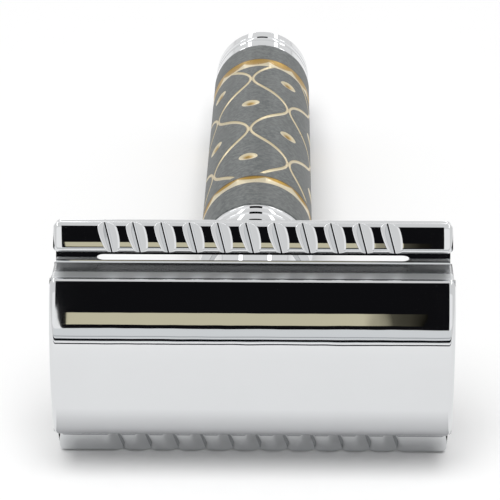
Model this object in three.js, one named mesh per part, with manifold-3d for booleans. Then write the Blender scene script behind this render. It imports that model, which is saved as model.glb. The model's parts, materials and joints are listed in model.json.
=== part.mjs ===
// A three-piece double-edge safety razor, lying on its lower safety bar and its knob.
// Millimetres. Each piece is drawn in the razor's own frame: z runs along the handle's axis and
// out through the cap, x along the blade's edges and y across them, with z = 0 at the cap's rim.
import * as THREE from 'three';
import { mergeVertices } from 'three/addons/utils/BufferGeometryUtils.js';
import Module from 'manifold-3d';

const wasm = await Module();
wasm.setup();

const gap = 0.3;            // left between neighbouring pieces
const fit = 0.3;            // radial clearance of a shaft in its hole

// The head.
const capLength = 43;
const capHalfWidth = 9;
const capCrown = 3.3;       // height of the cap's middle above its rim
const capRadius = 19;       // of the polished top
const capRim = 1.1;         // thickness at the edges
const capEndRound = 0.9;
const capCornerRound = 0.5;
const underRadius = 22;     // of the hollow underside
const underCrown = 1.75;
const plateLength = 42.8;
const platformHalfWidth = 9.1;
const platformTop = -0.5;   // height of the platform's long edges
const platformBack = -5;
const webFront = -4.5;
const webBack = -7;
const shoulder = 1.4;       // width of the slope from the platform's back to the webs'
const postSpacing = 25;
const postRadius = 1.6;
const postEnd = -3;

// The safety bars.
const lipCentre = [11.11, -4.2];
const lipRadius = 0.62;
const rimCentre = [12.74, -4.92];
const rimRadius = 0.73;
const faceRadius = 7.7;
const faceSlopes = [13, 27.6];          // degrees, where the face meets the lip and the rim
const barBack = -7.8;
const slotHalfLength = 16.8;
const slotOuter = 9.92;                 // the drain slot's side towards the bar
const notchCount = 11;
const notchPitch = 3.05;
const notchSlant = 12;                  // degrees
const notchFall = 24.6;                 // degrees, the slope of a notch's floor
const notchMiddle = [12.2, -4.55];      // where the floor passes under the face
const notchFloor = 0.16;                // width of the floor
const notchWall = 55;                   // degrees from the floor's normal
const notchReach = 1.6;                 // height and length of the cutter
const notchRun = 5;

// The handle.
const gripRadius = 6.67;
const neckRadius = 5.8;
const flareRadius = 7.4;    // of the neck's end under the plate
const flareBack = -6.4;
const flareFillet = 2.2;
const neckFront = platformBack - gap;
const neckBack = -21.9;
const collarBack = -29.25;
const collarGrooves = [1.1, 3, 5.4];    // behind the sleeve's near end
const sleeveFront = -29.6;
const sleeveLength = 65.4;
const sleeveBore = 5.2;
const sleeveBack = sleeveFront - sleeveLength;
const knobFront = sleeveBack - 0.35;
const knobLength = 8;
const knobRadius = 6.6;
const knobRound = 1.5;
const knobGrooves = [2.3, 4];           // beyond the sleeve's far end
const grooveDepth = 0.35;
const knobBack = knobFront - knobLength;

// The threaded pieces.
const studRadius = 2.5;
const studEnd = -11.5;
const studTop = underCrown + 0.65;
const insertRadius = 3.8;
const insertFront = neckFront - 0.5;
const insertBack = insertFront - 8.4;
const rodRadius = 2;
const rodFront = -18.3;
const rodBack = knobFront - 5.6;
const ringLength = 4;

const finishes = {
  chrome: { color: 0xdfe3e6, roughness: 0.08, metalness: 1 },
  steel: { color: 0xa9adb0, roughness: 0.3, metalness: 1 },
  coating: { color: 0x777c7d, roughness: 0.55, metalness: 0.3 },
  nylon: { color: 0xd8d4c8, roughness: 0.5, metalness: 0 },
};

const radians = THREE.MathUtils.degToRad;

// A closed geometry as a solid that can be joined and cut.
function solid(geometry) {
  const bare = geometry.clone();
  bare.deleteAttribute('normal');
  bare.deleteAttribute('uv');
  const merged = mergeVertices(bare, 1e-4);
  return new wasm.Manifold(new wasm.Mesh({
    numProp: 3,
    vertProperties: new Float32Array(merged.attributes.position.array),
    triVerts: new Uint32Array(merged.index.array),
  }));
}

function piece(name, body, finish) {
  const mesh = body.getMesh();
  const geometry = new THREE.BufferGeometry();
  geometry.setAttribute('position', new THREE.BufferAttribute(mesh.vertProperties, 3));
  geometry.setIndex(new THREE.BufferAttribute(mesh.triVerts, 1));
  geometry.computeVertexNormals();
  const result = new THREE.Mesh(geometry, new THREE.MeshStandardMaterial(finishes[finish]));
  result.name = name;
  return result;
}

// A profile of [radius, z] points turned about z. It runs anticlockwise, from axis to axis or
// back to its own start.
function turned(profile, segments = 48) {
  const points = profile.map(([radius, height]) => new THREE.Vector2(radius, height));
  return solid(new THREE.LatheGeometry(points, segments).rotateX(Math.PI / 2));
}

function rod(radius, low, high, segments = 32) {
  return turned([[0, low], [radius, low], [radius, high], [0, high]], segments);
}

function tube(inner, outer, low, high, segments = 48) {
  return turned([[inner, low], [outer, low], [outer, high], [inner, high], [inner, low]], segments);
}

// Points round an arc, from one angle to another in degrees.
function arc([x, y], radius, from, to, steps) {
  return Array.from({ length: steps + 1 }, (_, i) => {
    const angle = radians(from + ((to - from) * i) / steps);
    return [x + radius * Math.cos(angle), y + radius * Math.sin(angle)];
  });
}

function shape(points) {
  return new THREE.Shape(points.map(([x, y]) => new THREE.Vector2(x, y)));
}

// A [y, z] outline drawn out along x, centred.
function alongX(points, length) {
  const geometry = new THREE.ExtrudeGeometry(shape(points), { depth: length, bevelEnabled: false });
  const axes = [[0, 1, 0], [0, 0, 1], [1, 0, 0]].map((axis) => new THREE.Vector3(...axis));
  geometry.translate(0, 0, -length / 2);
  return solid(geometry.applyMatrix4(new THREE.Matrix4().makeBasis(...axes)));
}

// An [x, z] outline drawn out along y, centred.
function alongY(points, width) {
  const geometry = new THREE.ExtrudeGeometry(shape(points), { depth: width, bevelEnabled: false });
  return solid(geometry.translate(0, 0, -width / 2).rotateX(Math.PI / 2));
}

// An [x, y] outline drawn out along z.
function alongZ(points, low, high) {
  const geometry = new THREE.ExtrudeGeometry(shape(points), { depth: high - low, bevelEnabled: false });
  return solid(geometry.translate(0, 0, low));
}

function roundedRectangle(halfX, halfY, radius, steps = 4) {
  return [
    ...arc([halfX - radius, halfY - radius], radius, 0, 90, steps),
    ...arc([radius - halfX, halfY - radius], radius, 90, 180, steps),
    ...arc([radius - halfX, radius - halfY], radius, 180, 270, steps),
    ...arc([halfX - radius, radius - halfY], radius, 270, 360, steps),
  ];
}

// Mirrors the right half of an outline, which starts and ends on the centre line.
function mirrored(right) {
  const left = right.slice(1, -1).reverse().map(([y, z]) => [-y, z]);
  return [...right, ...left];
}

function capBody() {
  const edge = THREE.MathUtils.radToDeg(Math.asin((capHalfWidth - 0.1) / capRadius));
  const under = THREE.MathUtils.radToDeg(Math.asin((capHalfWidth - 0.4) / underRadius));
  const outline = mirrored([
    ...arc([0, underCrown - underRadius], underRadius, 90, 90 - under, 10),
    [capHalfWidth, 0],
    [capHalfWidth, capRim - 0.35],
    ...arc([0, capCrown - capRadius], capRadius, 90 - edge, 90, 16),
  ]);
  const half = capLength / 2;
  const front = [
    [-half, -1],
    [half, -1],
    ...arc([half - capEndRound, capCrown - capEndRound], capEndRound, 0, 90, 5),
    ...arc([capEndRound - half, capCrown - capEndRound], capEndRound, 90, 180, 5),
  ];
  const posts = [-1, 1].map((side) => rod(postRadius, postEnd, underCrown + 0.6, 24)
    .translate([side * postSpacing / 2, 0, 0]));
  const pocket = rod(studRadius + fit, -1, studTop + fit);
  const shell = alongX(outline, capLength)
    .intersect(alongY(front, 2 * capHalfWidth + 1))
    .intersect(alongZ(roundedRectangle(half, capHalfWidth, capCornerRound), -1, capCrown + 1));
  return posts.reduce((body, post) => body.add(post), shell.subtract(pocket));
}

function studBody() {
  const chamfer = 0.5;
  return turned([
    [0, studEnd],
    [studRadius - chamfer, studEnd],
    [studRadius, studEnd + chamfer],
    [studRadius, studTop],
    [0, studTop],
  ], 32);
}

// One safety bar's section on the +y side, from the web's front, over the face, to its back.
function barOutline() {
  const [low, high] = faceSlopes;
  const [lipY, lipZ] = lipCentre;
  const start = [
    lipY + lipRadius * Math.sin(radians(low)) - faceRadius * Math.sin(radians(low)),
    lipZ + lipRadius * Math.cos(radians(low)) - faceRadius * Math.cos(radians(low)),
  ];
  return [
    [lipY - lipRadius, webFront],
    ...arc(lipCentre, lipRadius, 180, 90 - low, 5),
    ...arc(start, faceRadius, 90 - low, 90 - high, 4).slice(1),
    ...arc(rimCentre, rimRadius, 90 - high, -8, 6).slice(1),
    [13.05, -6.6],
    ...arc([12.2, -7], 0.8, -5, -90, 3),
    [11.3, barBack],
    [10.6, webBack],
  ];
}

function plateOutline() {
  const crown = underCrown - 0.3;
  const radius = underRadius - 0.3;
  const edge = THREE.MathUtils.radToDeg(Math.asin((platformHalfWidth - 0.3) / radius));
  return mirrored([
    ...arc([0, crown - radius], radius, 90, 90 - edge, 10),
    [platformHalfWidth, platformTop],
    [platformHalfWidth, webFront],
    ...barOutline(),
    [platformHalfWidth, webBack],
    [platformHalfWidth - shoulder, platformBack],
    [0, platformBack],
  ]);
}

// The slot behind the +y bar, with the shoulder cleared away behind the platform's wall.
function drainSlot() {
  const width = slotOuter - platformHalfWidth;
  const full = width + shoulder;
  const round = width / 2 - 0.01;
  const slot = alongZ(roundedRectangle(slotHalfLength, width / 2, round), -12, webFront + 0.5);
  const relief = alongZ(roundedRectangle(slotHalfLength, full / 2, round), -12, platformBack);
  return slot.translate([0, platformHalfWidth + width / 2, 0])
    .add(relief.translate([0, platformHalfWidth - shoulder + full / 2, 0]));
}

// A V cutter with a narrow flat floor, laid across the +y bar's face and running out at its rim.
function notchCutter() {
  const half = notchFloor / 2;
  const spread = half + notchReach * Math.tan(radians(notchWall));
  const outline = [[-half, 0], [half, 0], [spread, notchReach], [-spread, notchReach]];
  return alongY(outline, notchRun)
    .rotate([0, 0, notchSlant])
    .rotate([-notchFall, 0, 0])
    .translate([0, ...notchMiddle]);
}

function guardPlate() {
  const ends = roundedRectangle(plateLength / 2, 14, 0.8);
  let body = alongX(plateOutline(), plateLength).intersect(alongZ(ends, -12, 4));
  const cutters = [drainSlot()];
  const notch = notchCutter();
  for (let i = 0; i < notchCount; i += 1) {
    cutters.push(notch.translate([(i - (notchCount - 1) / 2) * notchPitch, 0, 0]));
  }
  for (const cutter of cutters) {
    body = body.subtract(cutter).subtract(cutter.rotate([0, 0, 180]));
  }
  for (const side of [-1, 1]) {
    body = body.subtract(rod(postRadius + fit, -12, 4, 24).translate([side * postSpacing / 2, 0, 0]));
  }
  return body.subtract(rod(studRadius + fit, -12, 4));
}

function neckBody() {
  const seat = insertBack - gap;
  const rodHole = rodFront + gap;
  return turned([
    [rodRadius + fit, neckBack],
    [neckRadius, neckBack],
    ...arc([neckRadius + flareFillet, flareBack - flareFillet], flareFillet, 180, 110, 5),
    [flareRadius, flareBack],
    [flareRadius, neckFront],
    [insertRadius + fit, neckFront],
    [insertRadius + fit, seat],
    [0, seat],
    [0, rodHole],
    [rodRadius + fit, rodHole],
    [rodRadius + fit, neckBack],
  ]);
}

// A shallow round groove in a wall of the given radius, met on the way up.
function groove(radius, centre) {
  const half = 0.35;
  return [
    [radius, centre - half],
    [radius - grooveDepth * 0.8, centre - half * 0.45],
    [radius - grooveDepth, centre],
    [radius - grooveDepth * 0.8, centre + half * 0.45],
    [radius, centre + half],
  ];
}

function collarBody() {
  const front = neckBack - gap;
  const round = 0.3;
  const inner = rodRadius + fit;
  return turned([
    [inner, collarBack],
    [gripRadius - round, collarBack],
    [gripRadius, collarBack + round],
    ...collarGrooves.flatMap((distance) => groove(gripRadius, sleeveFront + distance)),
    [gripRadius, front - round],
    [gripRadius - round, front],
    [inner, front],
    [inner, collarBack],
  ]);
}

function knobBody() {
  const bore = rodRadius + fit;
  const edge = arc([knobRadius - knobRound, knobBack + knobRound], knobRound, -90, 0, 5);
  return turned([
    [0, knobBack],
    ...edge,
    ...knobGrooves.toReversed().flatMap((distance) => groove(knobRadius, sleeveBack - distance)),
    [knobRadius, knobFront - 0.3],
    [knobRadius - 0.3, knobFront],
    [bore, knobFront],
    [bore, rodBack - gap],
    [0, rodBack - gap],
  ]);
}

function centringRing(low) {
  return tube(rodRadius + fit, sleeveBore - fit, low, low + ringLength);
}

function headPieces() {
  return [
    piece('cap', capBody(), 'chrome'),
    piece('cap_stud', studBody(), 'steel'),
    piece('guard_plate', guardPlate(), 'chrome'),
  ];
}

function handlePieces() {
  const insert = tube(studRadius + fit, insertRadius, insertBack, insertFront);
  return [
    piece('neck', neckBody(), 'chrome'),
    piece('thread_insert', insert, 'steel'),
    piece('collar', collarBody(), 'chrome'),
    piece('front_centring_ring', centringRing(sleeveFront - 0.5 - ringLength), 'nylon'),
    piece('sleeve', tube(sleeveBore, gripRadius, sleeveBack, sleeveFront, 64), 'coating'),
    piece('rear_centring_ring', centringRing(sleeveBack + 0.5), 'nylon'),
    piece('tie_rod', rod(rodRadius, rodBack, rodFront), 'steel'),
    piece('knob', knobBody(), 'chrome'),
  ];
}

// The angle at which the lower bar's rim and the knob's rounded edge both touch a flat surface.
function restingTilt() {
  const [rimY, rimZ] = rimCentre;
  const drop = rimY - (knobRadius - knobRound);
  const run = rimZ - (knobBack + knobRound);
  return Math.atan2(drop, run) - Math.asin((knobRound - rimRadius) / Math.hypot(drop, run));
}

const lying = new THREE.Group();
lying.rotation.x = Math.PI / 2 - restingTilt();
lying.add(...headPieces(), ...handlePieces());

const razor = new THREE.Group();
razor.add(lying);
const box = new THREE.Box3().setFromObject(razor, true);
lying.position.set(0, -(box.min.y + box.max.y) / 2, -box.min.z);

export default razor;
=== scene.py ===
"""A lying double-edge safety razor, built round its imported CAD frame.

Shapes are worked out in the razor's own frame, in millimetres: x along the blade's edges, y across
them, z out through the cap along the handle's axis, with z = 0 at the cap's rim.
"""
import json
import math

import bpy
import numpy as np
from mathutils import Matrix, Vector


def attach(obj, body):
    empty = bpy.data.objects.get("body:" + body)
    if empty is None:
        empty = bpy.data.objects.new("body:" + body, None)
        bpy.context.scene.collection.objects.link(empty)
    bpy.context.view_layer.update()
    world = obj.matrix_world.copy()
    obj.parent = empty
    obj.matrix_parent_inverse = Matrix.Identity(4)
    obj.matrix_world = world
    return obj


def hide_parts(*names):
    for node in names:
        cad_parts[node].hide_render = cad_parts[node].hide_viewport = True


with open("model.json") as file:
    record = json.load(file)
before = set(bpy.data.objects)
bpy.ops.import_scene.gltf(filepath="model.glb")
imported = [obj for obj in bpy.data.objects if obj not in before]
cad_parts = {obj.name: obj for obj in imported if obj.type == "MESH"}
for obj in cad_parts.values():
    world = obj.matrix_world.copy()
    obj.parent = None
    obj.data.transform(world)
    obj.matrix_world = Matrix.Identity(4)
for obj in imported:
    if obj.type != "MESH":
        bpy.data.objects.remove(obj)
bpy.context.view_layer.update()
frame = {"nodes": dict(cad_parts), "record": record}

MM = 0.001

# The razor's frame, from the record's own joint.
TURN = next(j for j in frame["record"]["behaviour"]["joints"] if j["name"] == "handle_turn")
OUT = -Vector(TURN["axis"])
ACROSS = OUT.cross(Vector((1, 0, 0)))
AXIS_POINT = Vector(TURN["pos_m"])
RAZOR = np.array([[1, 0, 0], ACROSS, OUT], dtype=float).T * MM

# The head, in millimetres. A bend is its radius and the slope in degrees where it ends.
CAP_HALF = 21.5
CAP_CROWN = 3.298
CAP_BENDS = ((19.0, 18), (11.0, 28), (6.0, 42.5))
CAP_HALF_WIDTH = 9.0
CAP_END_RADIUS = 0.62
RIM_WIDTH = 0.4
EDGE_CHAMFER = 0.22
UNDER_RADIUS = 22.0
UNDER_CROWN = 1.75
PLATE_HALF = 21.4
PLATFORM_HALF_WIDTH = 8.95
PLATFORM_FOOT = PLATFORM_HALF_WIDTH - 0.02
PLATFORM_DRAFT = math.tan(math.radians(0.6))
CAST_EDGE = -1.8
PLATFORM_BACK = -5.0
WEB_FRONT = -4.5
WEB_BACK = -7.0
POST_X = 12.5
POST_RADIUS = 1.6
POST_END = -3.0

# A safety bar's section, on the +y side. A bend of the lip is its radius and the angle it reaches.
LIP_MEETS_FACE = (11.25, -3.596)
LIP_BENDS = ((5.0, 78.5), (1.3, 92.5), (0.2, 180.0))
BAR_INSIDE = 10.48
RIM_RADIUS = 0.68
RIM_UNTIL = -12
FACE_RADIUS = 7.7
FACE_SLOPES = (14.5, 29.0)
BAR_BACK = -7.8

# The trough between platform and bar, and the drain slot through its floor. SLOT_END is the length of
# the slot's round ends, and BURIED is how far the ledge runs on into the bar.
SLOT_HALF = 16.8
SLOT_INNER = 9.25
SLOT_OUTER = 9.83
BEVEL_WIDTH = 0.27
BEVEL_FALL = math.tan(math.radians(12))
LEDGE_FALL = math.tan(math.radians(20))
SLOT_END = 0.8
BURIED = 0.3
WEB_END = PLATE_HALF - 0.2

# The notches in a bar's face, each a slanted V with a narrow flat floor. NOTCH_SHEAR limits how far the
# slant carries one along the bar, and FAR is the distance from a notch where there is none.
NOTCHES = 11
NOTCH_PITCH = 3.03
NOTCH_SHIFT = -0.42
NOTCH_SLANT = math.radians(14.5)
NOTCH_SHEAR = 0.9
NOTCH_FALL = math.radians(24.6)
NOTCH_MIDDLE = np.array([12.2, -4.55])
NOTCH_FLOOR = 0.1
NOTCH_WALL = math.radians(53.5)
NOTCH_LEAN = 0.13
NOTCH_ROUND = 0.1
BAR_END_RADIUS = 0.6
FAR = 9.0

# The handle.
GRIP_RADIUS = 6.67
NECK_RADIUS = 5.8
NECK_FRONT = -5.05
NECK_BACK = -21.95
COLLAR_FRONT = -22.15
COLLAR_BACK = -29.3
SLEEVE_FRONT = -29.6
SLEEVE_LENGTH = 65.4
SLEEVE_BACK = SLEEVE_FRONT - SLEEVE_LENGTH
SLEEVE_BORE = 5.2
KNOB_FRONT = SLEEVE_BACK - 0.35
KNOB_LENGTH = 7.99
KNOB_EDGE = 1.5
KNOB_RADIUS = 6.59
KNOB_BACK = KNOB_FRONT - KNOB_LENGTH
STUD_RADIUS = 2.5
STUD_TOP = 2.4
STUD_END = -11.5
THREAD_PITCH = 0.8

# Tones of the engraving's brass, from 0 to 1: a painted groove shadow, gold, and a nearly white cream.
PAINTED_GROOVE_SHADOW = 0.06
GOLD = 0.25
CREAM = 0.92


# ---------------------------------------------------------------- outlines

def arc(centre, radius, start, end, steps):
    """Points [a, b] round an arc, angles in degrees."""
    angles = np.radians(np.linspace(start, end, steps + 1))
    return [(centre[0] + radius * math.cos(a), centre[1] + radius * math.sin(a)) for a in angles]


def corner(before, at, after, radius):
    """A rounded corner of a polyline: its points, from the side before to the side after."""
    steps = 6
    before, at, after = (np.array(p, dtype=float) for p in (before, at, after))
    to_before = (before - at) / np.linalg.norm(before - at)
    to_after = (after - at) / np.linalg.norm(after - at)
    half = math.acos(np.clip(to_before @ to_after, -1, 1)) / 2
    middle = (to_before + to_after) / np.linalg.norm(to_before + to_after)
    centre = at + middle * radius / math.sin(half)
    first = at + to_before * radius / math.tan(half) - centre
    last = at + to_after * radius / math.tan(half) - centre
    sweep = math.pi - 2 * half
    points = []
    for k in range(steps + 1):
        w = k / steps
        blend = (math.sin((1 - w) * sweep) * first + math.sin(w * sweep) * last) / math.sin(sweep)
        points.append(tuple(centre + blend))
    return points


def rounded(points, closed=False):
    """A polyline of (a, b) or (a, b, radius) points, with the corners that have a radius rounded."""
    result = []
    count = len(points)
    for i, point in enumerate(points):
        inner = closed or 0 < i < count - 1
        if len(point) == 3 and inner:
            result += corner(points[i - 1][:2], point[:2], points[(i + 1) % count][:2], point[2])
        else:
            result.append(tuple(point[:2]))
    return result


def refined(points, longest):
    """A polyline with its long straight stretches divided."""
    result = []
    for here, there in zip(points, points[1:]):
        steps = max(1, math.ceil(math.dist(here, there) / longest))
        for k in range(steps):
            w = k / steps
            result.append((here[0] * (1 - w) + there[0] * w, here[1] * (1 - w) + there[1] * w))
    return result + [points[-1]]


# ---------------------------------------------------------------- meshes

def to_world(points):
    """Razor-frame millimetres as row-frame metres."""
    return np.asarray(points, dtype=float) @ RAZOR.T + np.array(AXIS_POINT)


def placed(name, data):
    """A new object in the scene."""
    piece = bpy.data.objects.new(name, data)
    bpy.context.collection.objects.link(piece)
    return piece


def make(name, points, faces, body, slot, material, replaced, sharp=40, weighted=True):
    """A piece of the object, from razor-frame points. Edges above sharp degrees stay crisp."""
    mesh = bpy.data.meshes.new(name)
    mesh.from_pydata(to_world(points).tolist(), [], faces)
    mesh.validate()
    mesh.update()
    mesh.shade_smooth()
    mesh.set_sharp_from_angle(angle=math.radians(sharp))
    mesh.materials.append(material)
    piece = placed(name, mesh)
    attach(piece, body)
    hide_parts(replaced)
    if weighted:
        piece.modifiers.new("flat_stays_flat", "WEIGHTED_NORMAL").keep_sharp = True
    return piece


def set_values(piece, name, values):
    """A number at each point of a piece, for its material to read."""
    layer = piece.data.attributes.new(name, "FLOAT", "POINT")
    layer.data.foreach_set("value", np.asarray(values, dtype=np.float32))


def grid_faces(rows, columns, wrap_rows=False, wrap_columns=False):
    """Quads of a rows x columns grid of points, numbered along the columns first."""
    faces = []
    for i in range(rows if wrap_rows else rows - 1):
        for j in range(columns if wrap_columns else columns - 1):
            row, next_row = i * columns, (i + 1) % rows * columns
            k = (j + 1) % columns
            faces.append((row + j, row + k, next_row + k, next_row + j))
    return faces


def tube_faces(rows, columns):
    """The faces of a tube of rows of points that each run once round it, and a face over each end."""
    faces = grid_faces(rows, columns, wrap_columns=True)
    faces.append(tuple(range(columns))[::-1])
    faces.append(tuple(range((rows - 1) * columns, rows * columns)))
    return faces


def turned_over(faces):
    """The same faces, seen from the other side."""
    return [face[::-1] for face in faces]


def turned(profile, segments=160):
    """(points, faces) of a profile of (radius, z) points turned about the axis. A profile that
    starts and ends on the axis gets poles there; one that ends where it starts is a ring."""
    ring = profile[0] == profile[-1]
    poles = [] if ring else [profile[0], profile[-1]]
    body = profile[:-1] if ring else profile[1:-1]
    angles = np.linspace(0, 2 * math.pi, segments, endpoint=False)
    points = [(r * math.cos(a), r * math.sin(a), z) for r, z in body for a in angles]
    faces = grid_faces(len(body), segments, wrap_rows=ring, wrap_columns=True)
    for pole, row in zip(poles, (0, len(body) - 1)):
        centre = len(points)
        points.append((0, 0, pole[1]))
        for j in range(segments):
            a, b = row * segments + j, row * segments + (j + 1) % segments
            faces.append((centre, b, a) if row == 0 else (centre, a, b))
    return points, faces


def outward(loop):
    """Unit normals at the points of a closed outline that runs anticlockwise."""
    along = np.roll(loop, -1, axis=0) - np.roll(loop, 1, axis=0)
    normals = np.column_stack([along[:, 1], -along[:, 0]])
    return normals / np.linalg.norm(normals, axis=1, keepdims=True)


def end_stations(half_length, radius, steps):
    """(x, inset) at the end of a bar with rounded ends, from its very end inwards."""
    angles = np.linspace(0, math.pi / 2, steps + 1)
    return [(-half_length + radius * (1 - math.cos(a)), radius * (1 - math.sin(a))) for a in angles]


# How soon after a rounded end the next row of points comes, which keeps the flat beyond it flat.
FLAT_STARTS = 0.08


def drawn_along_x(outline, half_length, end_radius, steps, open_side=None):
    """(points, faces) of an anticlockwise [y, z] outline drawn along x, its two ends rounded over.
    open_side, if given, says how much of the rounding each point takes."""
    spacing = 1.0
    loop = np.array(outline)
    inwards = -outward(loop)
    if open_side:
        inwards *= open_side(inwards)[:, None]
    ends = end_stations(half_length, end_radius, steps)
    reach = half_length - end_radius
    middle = np.linspace(-reach, reach, round(2 * reach / spacing) + 1)[1:-1]
    inner = np.concatenate([[FLAT_STARTS - reach], middle, [reach - FLAT_STARTS]])
    stations = ends + [(x, 0) for x in inner] + [(-x, inset) for x, inset in reversed(ends)]
    points = []
    for x, inset in stations:
        points += [(x, *(place + inset * inward)) for place, inward in zip(loop, inwards)]
    return points, tube_faces(len(stations), len(loop))


def joined(*parts):
    """Several (points, faces) as one."""
    points, faces = [], []
    for part_points, part_faces in parts:
        faces += [tuple(i + len(points) for i in face) for face in part_faces]
        points += [tuple(p) for p in part_points]
    return points, faces


def half_turned(part):
    """The same (points, faces), turned half round about the axis."""
    points, faces = part
    return [(-x, -y, z) for x, y, z in points], faces


def mirrored_x(part):
    """The same (points, faces), mirrored end for end."""
    points, faces = part
    return [(-x, y, z) for x, y, z in points], turned_over(faces)


def moved_along_x(part, distance):
    """The same (points, faces), that much further along x."""
    points, faces = part
    return [(x + distance, y, z) for x, y, z in points], faces


# ---------------------------------------------------------------- materials

class Nodes:
    """A material's node tree, with short ways to add and join nodes."""

    def __init__(self, name):
        self.material = bpy.data.materials.new(name)
        self.material.use_nodes = True
        self.tree = self.material.node_tree
        self.shader = self.tree.nodes["Principled BSDF"]
        self.place = self.add("ShaderNodeTexCoord").outputs["Object"]

    def add(self, kind, **settings):
        node = self.tree.nodes.new(kind)
        for key, value in settings.items():
            setattr(node, key, value)
        return node

    def join(self, source, target):
        self.tree.links.new(source, target)

    def noise(self, scale, detail=3, roughness=0.5, stretch=None):
        place = self.place
        if stretch:
            mapping = self.add("ShaderNodeMapping")
            mapping.inputs["Scale"].default_value = stretch
            self.join(self.place, mapping.inputs["Vector"])
            place = mapping.outputs["Vector"]
        node = self.add("ShaderNodeTexNoise")
        node.inputs["Scale"].default_value = scale
        node.inputs["Detail"].default_value = detail
        node.inputs["Roughness"].default_value = roughness
        self.join(place, node.inputs["Vector"])
        return node.outputs["Fac"]

    def span(self, value, low, high, to_low, to_high):
        node = self.add("ShaderNodeMapRange")
        for key, number in (("From Min", low), ("From Max", high), ("To Min", to_low), ("To Max", to_high)):
            node.inputs[key].default_value = number
        self.join(value, node.inputs["Value"])
        return node.outputs["Result"]

    def mix(self, factor, first, second):
        node = self.add("ShaderNodeMix", data_type="RGBA")
        self.join(factor, node.inputs[0])
        for colour, socket in ((first, node.inputs[6]), (second, node.inputs[7])):
            if isinstance(colour, tuple):
                socket.default_value = (*colour, 1)
            else:
                self.join(colour, socket)
        return node.outputs[2]

    def bump(self, height, strength, distance, under=None):
        node = self.add("ShaderNodeBump")
        node.inputs["Strength"].default_value = strength
        node.inputs["Distance"].default_value = distance
        self.join(height, node.inputs["Height"])
        if under:
            self.join(under, node.inputs["Normal"])
        return node.outputs["Normal"]

    def attribute(self, name):
        return self.add("ShaderNodeAttribute", attribute_name=name).outputs["Fac"]


def chrome(name, tint, waviness, haze):
    """Bright plating: slightly wavy, with faint polishing lines and smears of fingerprint haze. The
    attribute dull roughens it where the buffing wheel did not reach; the second attribute is painted shade,
    darkening its colour in the drain slot and on the platform's wall."""
    n = Nodes(name)
    n.shader.inputs["Metallic"].default_value = 1
    smear = n.noise(140, detail=4, roughness=0.6)
    bright = n.mix(smear, tint, tuple(c * 0.96 for c in tint))
    # Painted shade: the attribute read here turns the plating's colour down to 0.3 of its tint.
    n.join(n.mix(n.attribute("dark"), bright, tuple(c * 0.3 for c in tint)), n.shader.inputs["Base Color"])
    rough = n.add("ShaderNodeMath", operation="ADD")
    n.join(n.span(smear, 0.35, 0.75, haze * 0.5, haze), rough.inputs[0])
    n.join(n.span(n.attribute("dull"), 0, 1, 0, 0.45), rough.inputs[1])
    n.join(rough.outputs[0], n.shader.inputs["Roughness"])
    wave = n.bump(n.noise(260, detail=1), waviness, 0.0002)
    polish = n.noise(900, detail=2, stretch=(0.04, 1, 1))
    lines = n.bump(polish, waviness * 0.3, 0.00004, under=wave)
    n.join(lines, n.shader.inputs["Normal"])
    return n.material


def steel(name, tint, roughness):
    """Turned steel with fine tool marks."""
    n = Nodes(name)
    n.shader.inputs["Metallic"].default_value = 1
    grain = n.noise(900, stretch=(1, 0.15, 1))
    n.join(n.mix(grain, tint, tuple(c * 0.8 for c in tint)), n.shader.inputs["Base Color"])
    n.join(n.span(grain, 0.3, 0.7, roughness * 0.8, roughness * 1.3), n.shader.inputs["Roughness"])
    n.join(n.bump(grain, 0.15, 0.00005), n.shader.inputs["Normal"])
    return n.material


def nylon(name):
    """Moulded nylon, slightly mottled."""
    n = Nodes(name)
    cloud = n.noise(300)
    n.join(n.mix(cloud, (0.78, 0.75, 0.68), (0.7, 0.67, 0.6)), n.shader.inputs["Base Color"])
    n.join(n.span(cloud, 0.3, 0.7, 0.4, 0.6), n.shader.inputs["Roughness"])
    n.join(n.bump(n.noise(1500), 0.1, 0.00005), n.shader.inputs["Normal"])
    return n.material


def engraved_coating(name):
    """Satin grey coating, cut through to bright brass where the attribute cut is above zero. The attribute
    tone colours the brass from deep brown through gold to cream, and carries the engraving's painted
    shade, painted highlight and painted groove shadow.
    """
    n = Nodes(name)
    grain = n.noise(1700, roughness=0.7)
    streak = n.noise(500, stretch=(1, 0.05, 1))
    cloud = n.noise(160)
    grey = n.mix(n.span(grain, 0.38, 0.62, 0, 1), (0.03, 0.038, 0.04), (0.152, 0.163, 0.159))
    grey = n.mix(n.span(cloud, 0.3, 0.7, 0, 0.3), grey, (0.135, 0.14, 0.135))
    grey = n.mix(n.span(streak, 0.45, 0.75, 0, 0.3), grey, (0.08, 0.088, 0.09))
    tone = n.attribute("tone")
    # Painted shade: the deep brown end of this ramp is painted groove shadow and shade.
    gold = n.mix(n.span(tone, 0, GOLD, 0, 1), (0.045, 0.03, 0.012), (0.40, 0.24, 0.035))
    brass = n.mix(n.span(tone, GOLD, 1, 0, 1), gold, (0.70, 0.625, 0.44))
    bare = n.span(n.attribute("cut"), -0.02, 0.03, 0, 1)
    n.join(n.mix(bare, grey, brass), n.shader.inputs["Base Color"])
    n.join(n.span(bare, 0, 1, 0.2, 1.0), n.shader.inputs["Metallic"])
    worn = n.add("ShaderNodeMath", operation="ADD")
    n.join(n.span(grain, 0.3, 0.7, 0.42, 0.58), worn.inputs[0])
    n.join(n.span(bare, 0, 1, 0, -0.16), worn.inputs[1])
    n.join(worn.outputs[0], n.shader.inputs["Roughness"])
    n.join(n.bump(grain, 0.12, 0.00006), n.shader.inputs["Normal"])
    return n.material


# ---------------------------------------------------------------- the head

def bent(start, facing, bends, steps):
    """A curve of arcs from one point that faces that many degrees, each running on from the last. A
    bend is its radius and the angle it reaches."""
    points = [start]
    for radius, until in bends:
        turn = math.radians(facing)
        centre = (points[-1][0] - radius * math.cos(turn), points[-1][1] - radius * math.sin(turn))
        points += arc(centre, radius, facing, until, steps)[1:]
        facing = until
    return points


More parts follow.
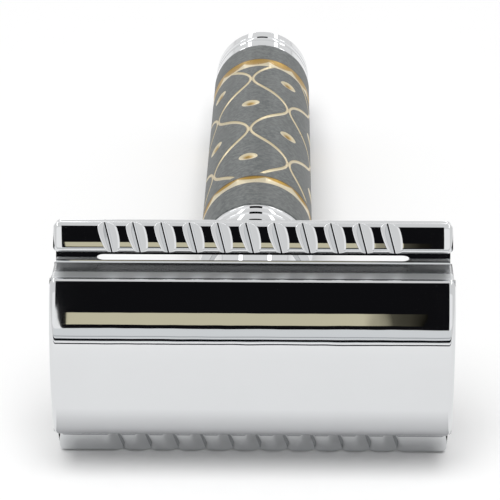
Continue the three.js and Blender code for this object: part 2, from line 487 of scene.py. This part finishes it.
def cap_outline():
    """The cap's section, anticlockwise: its top bends ever more tightly towards the two long edges."""
    half = bent((0.0, CAP_CROWN), 90, [(radius, 90 - slope) for radius, slope in CAP_BENDS], 30)
    top = half[::-1] + [(-y, z) for y, z in half[1:]]
    edge = top[0][1]
    under = math.degrees(math.asin((CAP_HALF_WIDTH - RIM_WIDTH) / UNDER_RADIUS))
    hollow = arc((0, UNDER_CROWN - UNDER_RADIUS), UNDER_RADIUS, 90 + under, 90 - under, 60)
    wide, lower = CAP_HALF_WIDTH, edge - EDGE_CHAMFER
    left = [(*top[-1], 0.12), (-wide, lower, 0.12), (-wide, 0, 0.06), (*hollow[0], 0.05)]
    right = [(*hollow[-1], 0.05), (wide, 0, 0.06), (wide, lower, 0.12), (*top[0], 0.12)]
    return rounded(top[1:-1] + left + hollow[1:-1] + right, closed=True)


def post():
    """A locating post, run up into the cap's underside, with a rounded nose."""
    nose, top = 0.4, UNDER_CROWN + 0.4
    profile = [(0, POST_END), (POST_RADIUS, POST_END, nose), (POST_RADIUS, top), (0, top)]
    return turned(rounded(profile), 48)


def thin_side(inwards):
    """The underside nearly keeps its place at the ends, so the thin edges stay whole."""
    least = 0.15
    return least + (1 - least) * np.clip(1 - inwards[:, 1] / 0.5, 0, 1)


def cap_piece(material):
    shell = drawn_along_x(cap_outline(), CAP_HALF, CAP_END_RADIUS, 10, open_side=thin_side)
    posts = [moved_along_x(post(), side * POST_X) for side in (-1, 1)]
    make("cap_shell", *joined(shell, *posts), "cap", "chrome", material, "cap", sharp=50)


def threaded(radius, low, high, pitch):
    """(points, faces) of a threaded rod, its thread fading out at both ends."""
    segments, step = 72, 0.05
    depth = 0.6 * pitch
    stations = np.arange(low, high + step / 2, step)
    points = []
    for z in stations:
        taper = min(1, (z - low) / 0.7, max(0, (high - z)) / 0.5)
        for j in range(segments):
            turn = j / segments
            phase = (z / pitch - turn) % 1
            ridge = min(1, max(0, 1.35 - abs(2 * phase - 1) * 1.7))
            r = radius - depth * (1 - ridge * max(0, taper))
            points.append((r * math.cos(2 * math.pi * turn), r * math.sin(2 * math.pi * turn), z))
    return points, tube_faces(len(stations), segments)


def stud_piece(material):
    rod = threaded(STUD_RADIUS, STUD_END, 1.0, THREAD_PITCH)
    shank = turned(rounded([(0, 0.9), (STUD_RADIUS, 0.9, 0.1), (STUD_RADIUS, STUD_TOP), (0, STUD_TOP)]), 72)
    make("cap_stud_threaded", *joined(rod, shank), "cap", "steel", material, "cap_stud")


def bar_outline():
    """The +y safety bar's section, closed: inner wall, lip, face and rim, then outer side and back. The
    lip bends ever more tightly from the face round to the inner wall."""
    low, high = FACE_SLOPES
    lip = bent(LIP_MEETS_FACE, 90 - low, LIP_BENDS, 12)
    face = bent(LIP_MEETS_FACE, 90 - low, [(FACE_RADIUS, 90 - high)], 26)
    rim = bent(face[-1], 90 - high, [(RIM_RADIUS, RIM_UNTIL)], 30)
    front = lip[::-1] + face[1:] + rim[1:]
    inside = lip[-1][0]
    corners = [(12.98, -6.3, 0.8), (12.9, BAR_BACK, 0.8), (inside, BAR_BACK, 0.75)]
    back = rounded([front[-1], *corners, front[0]])
    return front, refined(back, 0.25)[1:-1]


def notch_offsets(height):
    """Millimetres from a notch's middle of each line of points along it, for every point of the bar's
    section, which stands that high above the notch's floor: close together on the rims."""
    floor = (0.5, 1.0)
    wall = (0.06, 0.15, 0.3, 0.45, 0.6, 0.7, 0.78, 0.84, 0.89, 0.93, 0.965, 1.0)
    beyond = (0.03, 0.06, 0.09, 0.125, 0.16, 0.25)
    sides = []
    for lean in (1 - NOTCH_LEAN, 1 + NOTCH_LEAN):
        rim = NOTCH_FLOOR + np.maximum(height, 0) * math.tan(NOTCH_WALL) * lean
        across = [np.full(len(height), NOTCH_FLOOR * share) for share in floor]
        across += [NOTCH_FLOOR + (rim - NOTCH_FLOOR) * share for share in wall]
        sides.append(across + [rim + past for past in beyond])
    return [-offset for offset in sides[0][::-1]] + [np.zeros(len(height))] + sides[1]


def smooth_cut(depth, width):
    """Zero where depth is well below zero, depth where it is well above, and a round turn between."""
    return np.maximum(depth, 0) + np.maximum(width - np.abs(depth), 0) ** 2 / (4 * width)


def bar_columns(height, shear):
    """(x, offset) of each line of points across a bar: its place, and how far it is from a notch's
    middle, which is FAR where there is no notch."""
    lateral = math.cos(NOTCH_SLANT)
    columns = []
    for i in range(NOTCHES):
        centre = (i - (NOTCHES - 1) / 2) * NOTCH_PITCH + NOTCH_SHIFT
        columns += [(centre + (offset - shear) / lateral, offset) for offset in notch_offsets(height)]
    first, last = columns[0][0], columns[-1][0]
    reach = PLATE_HALF - BAR_END_RADIUS
    spans = np.linspace(0, 1, 13)[:-1]
    plain = np.full(len(height), FAR)
    left = [(-reach * (1 - w) + first * w, plain) for w in spans]
    right = [(reach * (1 - w) + last * w, plain) for w in spans[::-1]]
    return left + columns + right


def bar_part():
    """(points, faces) of one notched bar. Its columns follow the notches, so every rim is crisp."""
    front, back = bar_outline()
    loop = np.array(front + back)
    lift = np.array([math.sin(NOTCH_FALL), math.cos(NOTCH_FALL)])
    along_notch = math.sin(NOTCH_SLANT) * np.array([math.cos(NOTCH_FALL), -math.sin(NOTCH_FALL)])
    from_middle = loop - NOTCH_MIDDLE
    height = from_middle @ lift
    shear = np.clip(from_middle @ along_notch, -NOTCH_SHEAR, NOTCH_SHEAR)
    inwards = outward(loop)
    ends = end_stations(PLATE_HALF, BAR_END_RADIUS, 9)[:-1]
    stations = [np.column_stack([np.full(len(loop), x), loop + inwards * inset]) for x, inset in ends]
    for x, offset in bar_columns(height, shear):
        steepness = math.tan(NOTCH_WALL) * (1 + NOTCH_LEAN * np.sign(offset))
        floor_height = np.maximum(np.abs(offset) - NOTCH_FLOOR, 0) / steepness
        cut = smooth_cut(height - floor_height, NOTCH_ROUND) * (np.abs(offset) < FAR)
        stations.append(np.column_stack([x, loop - cut[:, None] * lift]))
    far_end = stations[:len(ends)][::-1]
    stations += [station * np.array([-1, 1, 1]) for station in far_end]
    points = np.concatenate(stations)
    return points.tolist(), turned_over(tube_faces(len(stations), len(loop)))


def platform_part():
    """(points, faces) of the middle of the plate: domed under the cap, flat at the back."""
    crown, radius = UNDER_CROWN - 0.1, UNDER_RADIUS - 0.1
    edge = math.degrees(math.asin((PLATFORM_HALF_WIDTH - 0.45) / radius))
    dome = arc((0, crown - radius), radius, 90 - edge, 90 + edge, 80)
    width, back = PLATFORM_HALF_WIDTH, PLATFORM_BACK
    top = dome[0][1] - 0.05

    def wall(z):
        return width - (z - WEB_FRONT) * PLATFORM_DRAFT, z

    right = [(width, back, 0.1), (*wall(WEB_FRONT), 0.1), wall(CAST_EDGE - 0.1), wall(CAST_EDGE)]
    right += [wall(CAST_EDGE + 0.1), (*wall(top), 0.06), (*dome[0], 0.05)]
    left = [(-point[0], *point[1:]) for point in reversed(right)]
    outline = rounded(dome[1:-1] + left + right, closed=True)
    return drawn_along_x(outline, PLATE_HALF, 0.3, 5)


def slot_half_width(x):
    """Half the drain slot's width at each x: drawn out round at its ends, nothing beyond them."""
    past = np.maximum(np.abs(x) - (SLOT_HALF - SLOT_END), 0) / SLOT_END
    return (SLOT_OUTER - SLOT_INNER) / 2 * np.sqrt(np.maximum(1 - past ** 2, 0))


def trough_floor(y):
    """The trough's floor: a bevel along the platform's foot, then a steeper fall towards the bar."""
    past_foot = y - PLATFORM_FOOT
    bevel = BEVEL_WIDTH - np.clip(past_foot, 0, BEVEL_WIDTH)
    return WEB_FRONT + bevel * BEVEL_FALL - np.maximum(past_foot - BEVEL_WIDTH, 0) * LEDGE_FALL


def sill_rows(lip):
    """The sill's front, from the platform's foot down its bevel and out to the slot's edge."""
    toe = np.minimum(PLATFORM_FOOT + BEVEL_WIDTH, lip)
    across = [PLATFORM_FOOT + (toe - PLATFORM_FOOT) * w for w in np.linspace(0, 1, 5)]
    across += [toe + (lip - toe) * w for w in (0.1, 0.5, 1.0)]
    return [(y, trough_floor(y)) for y in across]


def ledge_rows(lip):
    """The ledge's front, from inside the bar out to the slot's edge."""
    wall = BAR_INSIDE + BURIED
    return [(y, trough_floor(y)) for y in (wall + (lip - wall) * w for w in np.linspace(0, 1, 6))]


def trough_part():
    """(points, faces) of the trough's floor between platform and bar, with the drain slot through it:
    a sill along the platform and a ledge along the bar, which meet beyond the slot's ends."""
    turn = SLOT_HALF - SLOT_END
    round_end = turn + SLOT_END * np.sin(np.linspace(0, math.pi / 2, 15))
    beyond = np.linspace(SLOT_HALF + 0.3, WEB_END, 5)
    right = np.concatenate([np.linspace(0, turn, 18)[:-1], round_end, beyond])
    x = np.concatenate([-right[::-1], right[1:]])
    level = np.ones(len(x))
    drop = 0.02
    parts = []
    for side, rows_of, wall, back in (
        (-1, sill_rows, PLATFORM_HALF_WIDTH - 0.1, WEB_FRONT),
        (1, ledge_rows, BAR_INSIDE + BURIED, WEB_BACK),
    ):
        lip = (SLOT_OUTER + SLOT_INNER) / 2 + side * slot_half_width(x)
        rows = rows_of(lip)
        edge = rows[-1][1]
        rows += [(lip, edge - drop), (lip, edge - 3 * drop), (lip, (back - drop) * level)]
        rows += [(wall * level, (back - drop) * level)]
        points = np.stack([np.stack([x, y, z], axis=-1) for y, z in rows], axis=1).reshape(-1, 3)
        faces = tube_faces(len(x), len(rows))
        parts.append((points.tolist(), faces if side > 0 else turned_over(faces)))
    return joined(*parts)


def web_part():
    """(points, faces) of the solid end web on the +y side at +x, behind the trough's floor."""
    inner, outer = PLATFORM_HALF_WIDTH - 1.4, BAR_INSIDE + 0.5
    front = WEB_FRONT - 0.8
    outline = [(inner, PLATFORM_BACK), (inner, PLATFORM_BACK + 0.2), (outer, front), (outer, WEB_BACK)]
    outline += [(PLATFORM_HALF_WIDTH, WEB_BACK)]
    points = [(x, y, z) for x in (SLOT_HALF, WEB_END) for y, z in outline]
    return points, turned_over(tube_faces(2, len(outline)))


def dull_and_painted_shade(points):
    """(dull, painted shade) at each point: how rough the finish is where no polish reached, and how much
    painted shade darkens the colour in the drain slot and on the platform's wall.
    """
    across, out = np.abs(points[:, 1]), points[:, 2]
    wall = (across > PLATFORM_HALF_WIDTH - 0.3) & (across < PLATFORM_HALF_WIDTH + 0.01) & (out < 0)
    slot = (across > SLOT_INNER - 0.01) & (across < BAR_INSIDE) & (out < trough_floor(across) - 0.05)
    cast = wall & (out > CAST_EDGE - 0.01)
    dull = np.select([slot, cast, wall], [1.0, 0.8, 0.45], 0.0)
    # Painted shade: full in the drain slot, 0.6 on the platform's wall and 0.1 on the wall's upper band.
    dark = np.select([slot, cast, wall], [1.0, 0.1, 0.6], 0.0)
    return dull, dark


def guard_piece(material):
    bar, web = bar_part(), web_part()
    one_side = joined(bar, trough_part(), web, mirrored_x(web))
    points, faces = joined(platform_part(), one_side, half_turned(one_side))
    name, replaced = "guard_plate_notched", "guard_plate"
    piece = make(name, points, faces, "guard", "chrome", material, replaced, sharp=35)
    for attribute, values in zip(("dull", "dark"), dull_and_painted_shade(np.array(points))):
        set_values(piece, attribute, values)


# ---------------------------------------------------------------- the handle

def grooves(radius, centres, depth=0.35, half=0.36):
    """Round-bottomed grooves in a wall, met while going towards the cap."""
    points = []
    for centre in sorted(centres):
        floor = half * 0.62
        points += [(radius, centre - half, 0.08), (radius - depth, centre - floor, 0.12)]
        points += [(radius - depth, centre + floor, 0.12), (radius, centre + half, 0.08)]
    return points


def neck_piece(material):
    bore, step, rod = 4.1, -9, 2.3
    flare, widens, bend = 7.4, -7.6, 1.2
    profile = [(rod, NECK_BACK), (NECK_RADIUS, NECK_BACK, 0.15), (NECK_RADIUS, widens)]
    profile += arc((NECK_RADIUS + bend, widens), bend, 180, 112, 16)[1:]
    profile += [(flare, -6.35, 0.15), (flare, NECK_FRONT, 0.2), (bore, NECK_FRONT, 0.15)]
    profile += [(bore, step), (rod, step), (rod, NECK_BACK)]
    make("neck_turned", *turned(rounded(profile)), "handle", "chrome", material, "neck")


def collar_piece(material):
    rings = grooves(GRIP_RADIUS, [SLEEVE_FRONT + d for d in (1.1, 3.0, 5.4)], 0.3)
    bore, chamfer = 4.0, 0.8
    profile = [(bore, COLLAR_BACK), (GRIP_RADIUS, COLLAR_BACK, 0.14), *rings]
    profile += [(GRIP_RADIUS, COLLAR_FRONT - chamfer, 0.3), (NECK_RADIUS, COLLAR_FRONT, 0.1)]
    profile += [(bore, COLLAR_FRONT), (bore, COLLAR_BACK)]
    make("collar_grooved", *turned(rounded(profile)), "handle", "chrome", material, "collar")


def knob_piece(material):
    deep = grooves(KNOB_RADIUS, [SLEEVE_BACK - 4.4])
    shallow = grooves(KNOB_RADIUS, [SLEEVE_BACK - 2.9], 0.14, 0.3)
    flat, recess = KNOB_RADIUS - KNOB_EDGE, 4.0
    profile = [(0, KNOB_BACK), (flat, KNOB_BACK)]
    profile += arc((flat, KNOB_BACK + KNOB_EDGE), KNOB_EDGE, -90, 0, 16)[1:]
    profile += [*deep, *shallow, (KNOB_RADIUS, KNOB_FRONT, 0.15), (recess, KNOB_FRONT)]
    profile += [(recess, KNOB_FRONT - 1), (0, KNOB_FRONT - 1)]
    make("knob_grooved", *turned(rounded(profile)), "handle", "chrome", material, "knob")


# The engraving, measured round the sleeve in degrees and along it in millimetres from its near end. A
# depth is a share of how far inside the figure's edge a place is.
COLUMNS = 8
COLUMN_PHASE = -10.5
COLUMN_WIDTH = math.radians(360 / COLUMNS) * GRIP_RADIUS
CELL_LENGTH = 21.6
FIRST_TOUCH = 28.2
STRAND_SWING = 0.93
STRAND_HALF = (0.17, 0.32)
STRAND_DEPTH = 0.5
NET_START = 10.9
NET_END = 55.6
DOT_RADIUS = 1.2
DOT_DEPTH = 0.22
DOT_MARGIN = 2.0
# A ring of scoops: where it starts and ends, the share of it where painted shade turns cream to gold,
# and how far that edge dips in the middle of a scoop.
RINGS = ((7.5, 9.95, 0.78, 0.16), (55.4, 58.8, 0.62, 0.3))
SCOOPS = 12
SCOOP_PHASE = 9.0


def from_column(column, place):
    """Columns between each place and a given one, the shorter way round."""
    return (column - place + COLUMNS / 2) % COLUMNS - COLUMNS / 2


def strands(column, along):
    """(inside, tone, depth) of the net: each strand swings between two columns and touches its
    neighbours in turn."""
    phase = 2 * math.pi * (along - FIRST_TOUCH) / CELL_LENGTH
    slant = np.sin(phase) * math.pi * COLUMN_WIDTH / CELL_LENGTH * STRAND_SWING
    thin, thick = STRAND_HALF
    fade = np.minimum(along - NET_START, NET_END - along)
    for strand in range(COLUMNS):
        swing = np.cos(phase) * (1 if strand % 2 == 0 else -1)
        off = from_column(column, strand + 0.5 - 0.5 * swing * STRAND_SWING)
        distance = np.abs(off) * COLUMN_WIDTH / np.sqrt(1 + slant ** 2)
        half = thin + (thick - thin) * (1 - swing ** 2)
        inside = np.minimum(half - distance, fade)
        tone = 0.62 + 0.38 * np.clip(inside / 0.2, 0, 1)
        yield inside, tone, STRAND_DEPTH * np.clip(inside, 0, 1)


def dots(column, along):
    """(inside, tone, depth) of the round dimples, one in the middle of each cell, with painted shade
    darkening each towards its middle.
    """
    netted = (along > NET_START + DOT_MARGIN) & (along < NET_END - DOT_MARGIN)
    for place in range(COLUMNS):
        shift = 0 if place % 2 == 0 else CELL_LENGTH / 2
        rise = (along - FIRST_TOUCH - shift) % CELL_LENGTH - CELL_LENGTH / 2
        distance = np.hypot(from_column(column, place) * COLUMN_WIDTH, rise)
        inside = np.where(netted, DOT_RADIUS - distance, -1)
        # Painted shade: the tone falls towards each dimple's middle.
        tone = 0.2 + 0.7 * np.clip((distance - 0.3) / 0.5, 0, 1)
        yield inside, tone, DOT_DEPTH * np.clip(inside, 0, 1)


def scooped_rings(turn, along):
    """(inside, tone, depth) of the two rings of flat scoops near the sleeve's ends: a painted highlight in
    cream on each scoop's near side, painted shade in gold on its far side, and a painted groove shadow
    along the ring's far edge.
    """
    each = 360 / SCOOPS
    crown = 1 - (((turn - SCOOP_PHASE) % each - each / 2) / (each / 2)) ** 2
    for low, high, painted_shade_from, dip in RINGS:
        inside = np.minimum(np.minimum(along - low, high - along), 0.5)
        level = (along - low) / (high - low)
        # Painted shade: past this edge each scoop turns from cream to gold.
        shade = np.clip((level - painted_shade_from + dip * crown) / 0.06, 0, 1)
        # Painted groove shadow: a thin deep brown band along the ring's far edge.
        outline = (level > 0.5) & (inside < 0.16)
        tone = np.where(outline, PAINTED_GROOVE_SHADOW, CREAM - (CREAM - GOLD) * shade)
        round_bottom = np.clip(np.sin(np.clip(level, 0, 1) * math.pi), 0, 1)
        yield inside, tone, round_bottom * (0.14 * crown + 0.03) * (inside > 0)


def engraving(turn, along):
    """(cut, tone, depth) at each place: cut is millimetres inside the engraving's edge, tone runs
    from deep brown to bright brass and carries painted shade and painted highlight, and depth is
    millimetres below the coating."""
    column = (turn - COLUMN_PHASE) / (360 / COLUMNS)
    cut = np.full(turn.shape, -1.0)
    tone = np.full(turn.shape, 0.8)
    depth = np.zeros(turn.shape)
    for figure in (strands(column, along), dots(column, along), scooped_rings(turn, along)):
        for inside, shade, below in figure:
            tone = np.where(inside > cut, shade, tone)
            cut = np.maximum(cut, inside)
            depth = np.maximum(depth, below)
    return cut, tone, depth


def sleeve_piece(material):
    segments, rows = 288, 440
    turn = np.linspace(-180, 180, segments, endpoint=False)
    along = np.linspace(0, SLEEVE_LENGTH, rows + 1)
    turn_grid, along_grid = np.meshgrid(turn, along)
    cut, tone, depth = engraving(turn_grid, along_grid)
    ends = np.minimum(along_grid, SLEEVE_LENGTH - along_grid)
    radius = GRIP_RADIUS - depth - 0.12 * np.clip(1 - ends / 0.15, 0, 1) ** 2
    angle = np.radians(turn_grid)
    points = np.stack([radius * np.sin(angle), radius * np.cos(angle), SLEEVE_FRONT - along_grid], axis=-1)
    points = points.reshape(-1, 3).tolist()
    faces = grid_faces(rows + 1, segments, wrap_columns=True)
    inner = len(points)
    for z in (SLEEVE_BACK, SLEEVE_FRONT):
        points += [(SLEEVE_BORE * math.sin(a), SLEEVE_BORE * math.cos(a), z) for a in np.radians(turn)]
    last = rows * segments
    for j in range(segments):
        k = (j + 1) % segments
        faces.append((last + j, last + k, inner + k, inner + j))
        faces.append((inner + j, inner + k, inner + segments + k, inner + segments + j))
        faces.append((inner + segments + j, inner + segments + k, k, j))
    name, replaced = "sleeve_engraved", "sleeve"
    piece = make(name, points, faces, "handle", "coating", material, replaced, weighted=False)
    bore = np.full(2 * segments, -1.0)
    set_values(piece, "cut", np.concatenate([cut.ravel(), bore]))
    # The tone attribute carries the engraving's painted shade and painted highlight.
    set_values(piece, "tone", np.concatenate([tone.ravel(), bore]))


# ---------------------------------------------------------------- the stage

# The white surround is brighter where it is seen, in the chrome too (SKY_SEEN), than as a light
# (SKY_LIGHT). The strips are in metres and watts, and in degrees round from the handle's top.
SKY_SEEN = 0.86
SKY_LIGHT = 0.46
STRIP_POWER = 1.1
STRIP_LENGTH = 3.2
STRIP_WIDTH = 0.06
STRIP_ANGLE = 33
STRIP_REACH = 0.4
OVERHEAD_POWER = 39.0

# The cards' elevations are measured from a little above the razor's axis.
CARD_LEVEL = AXIS_POINT.z + 0.003


def seen_in_reflections(name, points, faces, surface, n):
    """Part of the stage that only the chrome sees, with that surface from the node tree n."""
    mesh = bpy.data.meshes.new(name)
    mesh.from_pydata(points, [], faces)
    n.join(surface, n.tree.nodes["Material Output"].inputs["Surface"])
    n.tree.nodes.remove(n.shader)
    mesh.materials.append(n.material)
    piece = placed(name, mesh)
    piece.visible_camera = False
    piece.visible_diffuse = False
    piece.visible_shadow = False


def card(name, distance, elevations, ends, colour, fade=None, corner_size=(0, 0)):
    """A glowing card bent round the head at that many metres, between two elevations in degrees and
    two ends along x. fade gives two places along x and the share of its glow that is left at the
    second; corner_size is how far along and how high its lower corners are round."""
    low, high = elevations
    wide, tall = corner_size
    corner_rows = low + tall * (1 - np.cos(np.linspace(0, math.pi / 2, 9)))
    rows = np.unique(np.concatenate([[low], corner_rows, np.arange(math.ceil(low) + 1, high, 2), [high]]))
    points = []
    for row in rows:
        short = max(low + tall - row, 0) / tall if tall else 0
        inset = wide * (1 - math.sqrt(max(1 - short ** 2, 0)))
        e = math.radians(row)
        y, z = AXIS_POINT.y - distance * math.cos(e), CARD_LEVEL + distance * math.sin(e)
        points += [(ends[0] + inset, y, z), (ends[1] - inset, y, z)]
    faces = [(2 * k, 2 * k + 1, 2 * k + 3, 2 * k + 2) for k in range(len(rows) - 1)]
    n = Nodes(name)
    glow = n.add("ShaderNodeEmission")
    glow.inputs["Color"].default_value = (*colour, 1)
    if fade:
        along = n.add("ShaderNodeSeparateXYZ")
        n.join(n.place, along.inputs[0])
        n.join(n.span(along.outputs[0], *fade[:2], 1, fade[2]), glow.inputs["Strength"])
    seen_in_reflections(name, points, faces, glow.outputs[0], n)


def front_cards():
    """What stands before the head in the studio, from the floor up."""
    warm = np.array((0.70, 0.65, 0.465))
    card("card_edge", 0.25, (-3.2, -2.3), (-0.2, 0.2), (0.05, 0.05, 0.06))
    card("card_gap", 0.4, (-0.8, 0.8), (-0.3, 0.3), (0.01, 0.01, 0.012))
    card("card_rail", 0.62, (2.0, 2.7), (-0.3, 0.3), (0.5, 0.51, 0.53))
    card("card_wall", 0.65, (-1.4, 7.5), (-0.3, 0.3), (0.85, 0.87, 0.88))
    card("card_left", 0.65, (7.5, 45), (-0.75, -0.0776), (1.1, 1.1, 1.1))
    card("card_right", 0.65, (7.5, 45), (0.064, 0.75), (1.1, 1.1, 1.1))
    card("card_dark", 0.64, (7.7, 74), (-0.0786, 0.0648), (0.006, 0.006, 0.007), corner_size=(0.0035, 8))
    card("card_warm", 0.63, (10.3, 18.6), (-0.0735, 0.043), warm, fade=(0.030, 0.042, 0.12))
    card("card_faint", 0.63, (10.3, 18.6), (0.043, 0.0535), warm * 0.12, fade=(0.043, 0.0535, 0.05))


def floor_shade():
    """Darkens what the cap's lower edge shows of the floor, more the nearer it is to the head."""
    near, far = AXIS_POINT.y + 0.0006, AXIS_POINT.y - 0.0098
    half, height = 0.024, 0.0003
    points = [(-half, far, height), (half, far, height), (half, near, height), (-half, near, height)]
    n = Nodes("floor_shade")
    along = n.add("ShaderNodeSeparateXYZ")
    n.join(n.place, along.inputs[0])
    clear = n.add("ShaderNodeBsdfTransparent")
    shade = n.mix(n.span(along.outputs[1], far, near, 0, 1), (1, 1, 1), (0.46, 0.46, 0.47))
    n.join(shade, clear.inputs["Color"])
    seen_in_reflections("floor_shade", points, [(0, 1, 2, 3)], clear.outputs[0], n)


def area_light(name, size, energy):
    """A rectangular light that the camera doesn't see."""
    light = bpy.data.lights.new(name, "AREA")
    light.shape = "RECTANGLE"
    light.size, light.size_y = size
    light.energy = energy
    piece = placed(name, light)
    piece.visible_camera = False
    return piece


def softbox(name, angle):
    """A long light along the handle, that many degrees round from its top, for the chrome to show."""
    piece = area_light(name, (STRIP_WIDTH, STRIP_LENGTH), STRIP_POWER)
    a = math.radians(angle)
    away = Vector((1, 0, 0)) * math.sin(a) + ACROSS * math.cos(a)
    turn = Matrix((-OUT.cross(away), -OUT, away)).transposed().to_4x4()
    middle = AXIS_POINT - OUT * STRIP_LENGTH * 0.45 + away * STRIP_REACH
    piece.matrix_world = Matrix.Translation(middle) @ turn
    piece.visible_diffuse = False


def overhead():
    """The broad light above and a little before the head, which the chrome doesn't show."""
    piece = area_light("overhead", (1.6, 1.5), OVERHEAD_POWER)
    piece.location = (-0.08, -0.85, 2.0)
    piece.rotation_euler = (math.radians(23), 0, 0)
    piece.visible_glossy = False


def floor():
    """A plain pale sweep."""
    half = 3.0
    corners = [(-half, -half, 0), (half, -half, 0), (half, half, 0), (-half, half, 0)]
    mesh = bpy.data.meshes.new("floor")
    mesh.from_pydata(corners, [], [(0, 1, 2, 3)])
    n = Nodes("floor_paper")
    n.shader.inputs["Roughness"].default_value = 0.9
    n.shader.inputs["Specular IOR Level"].default_value = 0.1
    paper = n.mix(n.noise(30), (0.93, 0.93, 0.93), (0.91, 0.91, 0.91))
    n.join(paper, n.shader.inputs["Base Color"])
    mesh.materials.append(n.material)
    placed("floor", mesh)


def surroundings():
    """A plain white surround, brighter to look at, in the chrome too, than it is as a light."""
    world = bpy.data.worlds.new("studio")
    world.use_nodes = True
    nodes, links = world.node_tree.nodes, world.node_tree.links
    background = nodes["Background"]
    background.inputs["Color"].default_value = (1.0, 1.0, 1.0, 1)
    ray = nodes.new("ShaderNodeLightPath")
    seen = nodes.new("ShaderNodeMath")
    seen.operation = "MAXIMUM"
    links.new(ray.outputs["Is Camera Ray"], seen.inputs[0])
    links.new(ray.outputs["Is Glossy Ray"], seen.inputs[1])
    strength = nodes.new("ShaderNodeMapRange")
    strength.inputs["To Min"].default_value = SKY_LIGHT
    strength.inputs["To Max"].default_value = SKY_SEEN
    links.new(seen.outputs[0], strength.inputs["Value"])
    links.new(strength.outputs["Result"], background.inputs["Strength"])
    bpy.context.scene.world = world


def camera():
    """The photograph's viewpoint: above the head, looking down the handle."""
    lens = bpy.data.cameras.new("camera")
    lens.sensor_width = 36
    lens.lens = 183.6
    lens.clip_start = 0.01
    distance, aside, below = 0.2732, 0.00025, 0.0114
    pitch, yaw, roll = math.radians(-25.06), math.radians(0.90), math.radians(-0.075)
    tilt = Matrix.Rotation(math.pi / 2 + pitch, 4, "X") @ Matrix.Rotation(roll, 4, "Z")
    turn = Matrix.Rotation(yaw, 4, "Z") @ tilt
    to_head = turn.to_3x3() @ Vector((aside, -below, -distance))
    piece = placed("camera", lens)
    piece.matrix_world = Matrix.Translation(AXIS_POINT - to_head) @ turn
    bpy.context.scene.camera = piece


def stage():
    """The studio: the camera, the floor and all that lights the razor."""
    camera()
    floor()
    surroundings()
    front_cards()
    floor_shade()
    softbox("strip_left", -STRIP_ANGLE)
    softbox("strip_right", STRIP_ANGLE)
    overhead()
    bpy.context.scene.view_settings.view_transform = "Standard"


def razor():
    """Every piece of the object, and the materials of the CAD nodes that stay as they are."""
    silver = (0.70, 0.71, 0.72)
    plating = chrome("chrome", silver, waviness=0.04, haze=0.022)
    handle_plating = chrome("chrome_turned", silver, waviness=0.02, haze=0.03)
    turned_steel = steel("turned_steel", (0.62, 0.63, 0.64), roughness=0.3)
    moulded = nylon("moulded_nylon")
    cap_piece(plating)
    stud_piece(turned_steel)
    guard_piece(plating)
    neck_piece(handle_plating)
    collar_piece(handle_plating)
    sleeve_piece(engraved_coating("engraved_coating"))
    knob_piece(handle_plating)
    hidden = {"thread_insert": turned_steel, "tie_rod": turned_steel,
              "front_centring_ring": moulded, "rear_centring_ring": moulded}
    for node, material in hidden.items():
        mesh = frame["nodes"][node].data
        mesh.materials.clear()
        mesh.materials.append(material)


razor()
stage()
